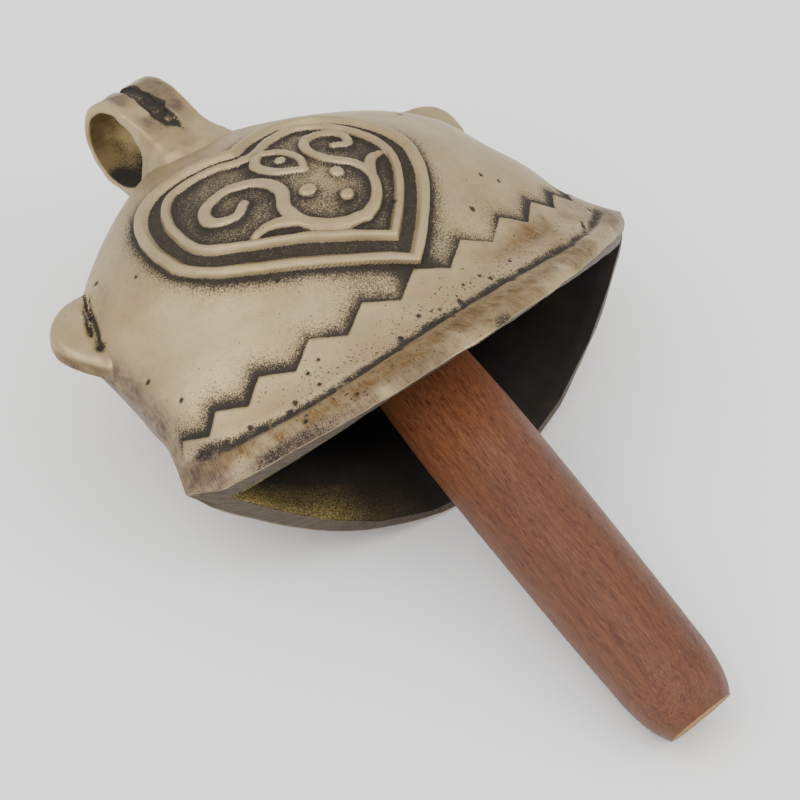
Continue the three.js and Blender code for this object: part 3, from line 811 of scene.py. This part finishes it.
# ---- materials ----
class Shader:
    """A node material built with short calls; an input is a value or another node's output."""

    def __init__(self, name):
        self.material = bpy.data.materials.new(name)
        self.material.use_nodes = True
        self.tree = self.material.node_tree
        self.shader = self.tree.nodes["Principled BSDF"]

    def node(self, kind, inputs, output=0, **settings):
        n = self.tree.nodes.new("ShaderNode" + kind)
        for key, value in settings.items():
            setattr(n, key, value)
        for key, value in inputs.items():
            self.put(n.inputs[key], value)
        return n.outputs[output]

    def put(self, socket, value):
        if isinstance(value, bpy.types.NodeSocket):
            self.tree.links.new(value, socket)
        else:
            socket.default_value = value

    def attribute(self, name, output="Fac"):
        return self.node("Attribute", {}, output, attribute_name=name)

    def place(self, scale=(1, 1, 1), source=None):
        """Coordinates in millimetres, stretched by scale."""
        if source is None:
            source = self.node("TexCoord", {}, "Object")
            scale = [s / MM for s in scale]
        return self.node("Mapping", {"Vector": source, "Scale": scale})

    def noise(self, place, size, detail=2.0, roughness=0.5):
        return self.node("TexNoise", {"Vector": place, "Scale": 1 / size, "Detail": detail,
                                      "Roughness": roughness}, "Fac")

    def math(self, operation, a, b=0.0, c=0.0):
        return self.node("Math", {0: a, 1: b, 2: c}, operation=operation)

    def step(self, value, low, high, to_low=0.0, to_high=1.0):
        return self.node("MapRange", {"Value": value, "From Min": low, "From Max": high,
                                      "To Min": to_low, "To Max": to_high},
                         interpolation_type="SMOOTHSTEP")

    def mix(self, share, a, b):
        def colour(value):
            return value if isinstance(value, bpy.types.NodeSocket) else (*value, 1)
        return self.node("Mix", {0: share, 6: colour(a), 7: colour(b)}, 2, data_type="RGBA")

    def surface(self, **inputs):
        for key, value in inputs.items():
            self.put(self.shader.inputs[key.replace("_", " ")], value)
        return self.material


PALE = (0.405, 0.318, 0.182)
WARM = (0.350, 0.268, 0.143)
SHADE = (0.0045, 0.0036, 0.0044)
DARK = (0.0145, 0.0112, 0.0125)
GOLDEN_BROWN = (0.135, 0.072, 0.022)
PLUM = (0.085, 0.056, 0.052)
OLIVE_GOLD = (0.235, 0.172, 0.072)


def rim_and_inside(s, trace, noises, colour, rough, metallic, relief):
    """The hatched rim face with its worn edge, and the near-black inside, olive at one corner."""
    fine, middle, broad = noises
    split = s.node("SeparateXYZ", {0: s.attribute("zone", "Vector")}).node
    inside, rim, depth = split.outputs[0], split.outputs[1], split.outputs[2]
    hatch = s.noise(s.place((3.2, 0.05, 0.05), trace), 1.0, 2.0, 0.7)
    ground = s.mix(s.step(hatch, 0.36, 0.64), (0.028, 0.022, 0.019), (0.175, 0.142, 0.108))
    ground = s.mix(s.step(middle, 0.45, 0.75, 0, 0.6), ground, (0.060, 0.045, 0.040))
    on_rim = s.step(rim, 0.45, 0.7)
    colour = s.mix(on_rim, colour, ground)
    worn_edge = s.step(s.math("ABSOLUTE", s.math("SUBTRACT", rim, 0.56)), 0.03, 0.14, 1.0, 0.0)
    worn_edge = s.math("MULTIPLY", worn_edge, s.step(inside, 0.1, 0.3, 0.7, 0.0))
    colour = s.mix(s.math("MULTIPLY", worn_edge, s.step(middle, 0.35, 0.6)), colour, PALE)
    relief = s.math("MULTIPLY_ADD", s.math("MULTIPLY", hatch, on_rim), 1.2, relief)

    olive = s.mix(s.step(fine, 0.35, 0.7), (0.020, 0.014, 0.007), (0.28, 0.21, 0.062))
    deep = s.mix(s.step(broad, 0.4, 0.8), (0.009, 0.007, 0.006), (0.020, 0.015, 0.010))
    gilt = s.math("MULTIPLY", depth, s.step(broad, 0.25, 0.6, 0.4, 1.0))
    colour = s.mix(s.step(inside, 0.45, 0.55), colour, s.mix(gilt, deep, olive))
    rough = s.math("MAXIMUM", rough, s.math("MULTIPLY", inside, 0.9))
    rough = s.math("MAXIMUM", rough, s.math("MULTIPLY", on_rim, 0.55))
    metallic = s.math("MULTIPLY", metallic, s.step(inside, 0, 1, 1.0, 0.0))
    return colour, rough, metallic, relief


def bronze(name, shell=False):
    """Antiqued bronze: pale worn high spots, dark stippled recesses, brown and plum toning, and the
    painted shade that the masks carry.
    """
    s = Shader(name)
    mm = s.place()
    fine = s.noise(mm, 0.30, 2.0, 0.65)
    finer = s.noise(mm, 0.13, 2.0, 0.6)
    broad = s.noise(mm, 11.0, 3.0, 0.55)
    middle = s.noise(mm, 2.4, 4.0, 0.65)
    spots = s.noise(mm, 0.5, 1.5, 0.5)
    # On the fittings and beside the ears' roots these masks also carry painted shade, darkened like
    # the patina and the brown stain.
    patina = s.attribute("grime_and_shade")
    toned = s.math("MULTIPLY", s.attribute("stain_and_shade"), s.step(middle, 0.2, 0.75, 0.45, 1.0))
    plum = s.math("MULTIPLY", s.attribute("plum"), s.step(middle, 0.2, 0.8, 0.5, 1.0))
    if shell:
        gate = s.step(s.attribute("gate"), -0.22, 0.18)
        patina = s.math("MULTIPLY_ADD", gate, s.attribute("patina"), patina)
        trace = s.attribute("trace", "Vector")
        brushed = s.noise(s.place((3.4, 0.30, 1), trace), 1.0, 3.0, 0.65)
        toned = s.math("MULTIPLY", toned, s.step(brushed, 0.3, 0.7, 0.62, 1.12))
        plum = s.math("MULTIPLY", plum, s.step(brushed, 0.3, 0.7, 0.65, 1.1))
        spots = s.math("MULTIPLY_ADD", s.attribute("pitting"), 0.075, spots)
    for stipple, amount in ((fine, 1.5), (finer, 0.9)):
        patina = s.math("MULTIPLY_ADD", s.math("SUBTRACT", stipple, 0.5), amount, patina)
    cover = s.step(patina, 0.28, 0.88)
    toned = s.math("MINIMUM", s.math("MULTIPLY", toned, 0.85), 0.95)
    plum = s.math("MINIMUM", s.math("MULTIPLY", plum, 0.85), 0.95)
    speck = s.step(spots, 0.72, 0.78)

    colour = s.mix(s.step(broad, 0.35, 0.7), PALE, WARM)
    colour = s.mix(s.step(middle, 0.45, 0.8, 0, 0.20), colour, GOLDEN_BROWN)
    colour = s.mix(toned, colour, GOLDEN_BROWN)
    colour = s.mix(plum, colour, PLUM)
    if not shell:
        colour = s.mix(s.attribute("gilt"), colour, OLIVE_GOLD)
    dark = s.mix(s.step(middle, 0.3, 0.7), SHADE, DARK)
    colour = s.mix(s.math("MULTIPLY", speck, 0.8), colour, dark)
    colour = s.mix(s.math("MULTIPLY", cover, 0.95), colour, dark)
    rough = s.step(s.math("MAXIMUM", cover, s.math("MULTIPLY", toned, 0.3)), 0, 1, 0.48, 0.78)
    metallic = s.step(cover, 0, 1, 0.86, 0.12)

    relief = s.math("MULTIPLY_ADD", fine, cover, s.math("MULTIPLY", middle, 0.12))
    relief = s.math("MULTIPLY_ADD", finer, 0.12, relief)
    relief = s.math("MULTIPLY_ADD", speck, -0.6, relief)
    if shell:
        cut_edge = s.step(s.attribute("gate"), -0.28, 0.22)
        relief = s.math("MULTIPLY_ADD", cut_edge, -1.6, relief)
        relief = s.math("MULTIPLY_ADD", brushed, 0.22, relief)
        colour, rough, metallic, relief = rim_and_inside(
            s, trace, (fine, middle, broad), colour, rough, metallic, relief)
    bump = s.node("Bump", {"Strength": 0.55, "Distance": 0.12 * MM, "Height": relief})
    return s.surface(Base_Color=colour, Roughness=rough, Metallic=metallic, Normal=bump,
                     Specular_IOR_Level=0.25)


def forged(name, dark, light, roughness):
    s = Shader(name)
    mm = s.place()
    scale = s.noise(mm, 0.8, 4.0, 0.65)
    fine = s.noise(mm, 0.2, 2.0, 0.6)
    share = s.math("MULTIPLY_ADD", s.attribute("grime_and_shade"), -0.35, scale)
    colour = s.mix(s.step(share, 0.3, 0.7), dark, light)
    colour = s.mix(s.step(s.noise(mm, 2.6, 3.0), 0.55, 0.75, 0, 0.5), colour, (0.13, 0.055, 0.025))
    relief = s.math("MULTIPLY_ADD", fine, 0.4, scale)
    bump = s.node("Bump", {"Strength": 0.5, "Distance": 0.15 * MM, "Height": relief})
    rough = s.step(scale, 0.3, 0.7, roughness, roughness + 0.2)
    return s.surface(Base_Color=colour, Roughness=rough, Metallic=0.85, Normal=bump)


def wood(name):
    """Oiled reddish hardwood: long grain, dark pore flecks and a pale sawn end, with painted light
    lightening it towards the head.
    """
    s = Shader(name)
    rod = s.attribute("rod", "Vector")
    long_grain = s.noise(s.place((1, 0.045, 1), rod), 1.2, 5.0, 0.65)
    fibres = s.noise(s.place((1, 0.06, 1), rod), 0.2, 3.0, 0.65)
    pores = s.noise(s.place((1, 0.11, 1), rod), 0.2, 1.0, 0.4)
    broad = s.noise(s.place((1, 0.25, 1), rod), 7.0, 4.0, 0.55)
    colour = s.mix(s.step(long_grain, 0.3, 0.7), (0.062, 0.0165, 0.0055), (0.114, 0.035, 0.0105))
    colour = s.mix(s.step(broad, 0.4, 0.75, 0, 0.7), colour, (0.096, 0.028, 0.0085))
    colour = s.mix(s.step(fibres, 0.40, 0.75, 0, 0.75), colour, (0.165, 0.060, 0.019))
    pore = s.math("MULTIPLY", s.step(pores, 0.57, 0.68), s.step(broad, 0.3, 0.7, 0.5, 1.0))
    colour = s.mix(s.math("MULTIPLY", pore, 0.7), colour, (0.030, 0.007, 0.003))
    level = s.node("SeparateXYZ", {0: rod}, 1)
    # Painted light: the wood is lightened towards the head, inside the bell's mouth, where the bell
    # shades it.
    painted_light_lift = s.step(level, -72, -46, 1.0, 1.45)
    colour = s.node("HueSaturation", {"Saturation": 0.95, "Value": painted_light_lift, "Color": colour})
    sawn = s.attribute("sawn")
    saw_marks = s.noise(s.place((0.5, 1, 2.2), rod), 0.35, 3.0, 0.7)
    pale = s.mix(s.step(saw_marks, 0.3, 0.7), (0.20, 0.105, 0.032), (0.38, 0.25, 0.10))
    colour = s.mix(s.step(sawn, 0.4, 0.6), colour, pale)
    rough = s.step(broad, 0.3, 0.8, 0.42, 0.54)
    rough = s.math("MAXIMUM", rough, s.math("MULTIPLY", sawn, 0.9))
    relief = s.math("MULTIPLY_ADD", pore, -0.9, fibres)
    relief = s.math("MULTIPLY_ADD", s.math("MULTIPLY", saw_marks, sawn), 2.0, relief)
    bump = s.node("Bump", {"Strength": 0.5, "Distance": 0.12 * MM, "Height": relief})
    return s.surface(Base_Color=colour, Roughness=rough, Normal=bump, Specular_IOR_Level=0.3)


# ---- the pieces ----
bell_bronze = bronze("bell_bronze_antiqued", shell=True)
fitting_bronze = bronze("fitting_bronze_antiqued")
iron = forged("staple_iron_forged", (0.03, 0.026, 0.024), (0.16, 0.14, 0.12), 0.5)
steel = forged("fitting_steel_worn", (0.08, 0.07, 0.06), (0.34, 0.32, 0.29), 0.36)
clapper_wood = wood("clapper_wood_oiled")

shell = build_shell()
SHELL_TREE = BVHTree.FromPolygons([v.co for v in shell.data.vertices],
                                  [f.vertices for f in shell.data.polygons])
PIECES = [
    (shell, "bell", "bell_shell", "bell_bronze", bell_bronze),
    (refined("hanger_loop", "hanger_loop_cast", 0.3, 6, shape_loop, 120, loop_root_softness),
     "bell", "hanger_loop", "loop_bronze", fitting_bronze),
    (refined("left_ear", "left_ear_cast", 0.25, 12, shape_ear),
     "bell", "left_ear", "ear_bronze", fitting_bronze),
    (refined("right_ear", "right_ear_cast", 0.25, 12, shape_ear),
     "bell", "right_ear", "ear_bronze", fitting_bronze),
    (refined("crown_staple", "crown_staple_forged", 0.25, 8, shape_forged),
     "bell", "crown_staple", "staple_iron", iron),
    (refined("link_ring", "link_ring_forged", 0.25, 6, shape_forged),
     "link", "link_ring", "fitting_steel", steel),
    (refined("screw_eye", "screw_eye_forged", 0.22, 5, shape_forged),
     "clapper", "screw_eye", "fitting_steel", steel),
    (build_rod(), "clapper", "clapper_rod", "clapper_wood", clapper_wood),
]
for piece, body, node, slot, material in PIECES:
    piece.data.materials.append(material)
    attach(piece, body)
    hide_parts(node)


# ---- floor, light and camera ----
def plain_material(name, colour, roughness):
    s = Shader(name)
    return s.surface(Base_Color=(*colour, 1), Roughness=roughness)


def add_floor():
    size = 6.0
    bpy.ops.mesh.primitive_plane_add(size=size, location=(0, 0, cad_low.z - 0.0001))
    floor = bpy.context.object
    floor.name = "floor"
    floor.data.materials.append(plain_material("floor_pale", (0.90, 0.90, 0.89), 0.8))


def add_softbox(name, azimuth, elevation, distance, size, power, colour=(1, 1, 1)):
    a, e = math.radians(azimuth), math.radians(elevation)
    back = Vector((math.sin(a) * math.cos(e), -math.cos(a) * math.cos(e), math.sin(e)))
    data = bpy.data.lights.new(name, "AREA")
    data.shape, data.size, data.energy, data.color = "DISK", size, power, colour
    light = bpy.data.objects.new(name, data)
    light.location = back * distance
    light.rotation_euler = (-back).to_track_quat("-Z", "Y").to_euler()
    bpy.context.scene.collection.objects.link(light)


def add_world(colour, strength):
    world = bpy.data.worlds.new("studio")
    world.use_nodes = True
    background = world.node_tree.nodes["Background"]
    background.inputs["Color"].default_value = (*colour, 1)
    background.inputs["Strength"].default_value = strength
    bpy.context.scene.world = world


def add_camera(azimuth, elevation, distance, aim, lens):
    a, e = math.radians(azimuth), math.radians(elevation)
    back = Vector((math.sin(a) * math.cos(e), -math.cos(a) * math.cos(e), math.sin(e)))
    data = bpy.data.cameras.new("camera")
    data.lens, data.sensor_width, data.clip_start = lens, 36, 0.01
    camera = bpy.data.objects.new("camera", data)
    camera.location = aim + back * distance
    camera.rotation_euler = (-back).to_track_quat("-Z", "Y").to_euler()
    bpy.context.scene.collection.objects.link(camera)
    bpy.context.scene.camera = camera


add_floor()
add_world((1.0, 1.0, 1.0), 1.35)
add_softbox("overhead", -100, 60, 1.3, 1.1, 6)
add_softbox("front", -65, 35, 1.5, 1.2, 7)
add_softbox("fill", 25, 35, 1.3, 1.0, 6)
box_centre = (cad_low + cad_high) / 2
add_camera(-44.9, 41.75, 0.616, box_centre + Vector((-0.0068, -0.0004, -0.0089)), 148.9)
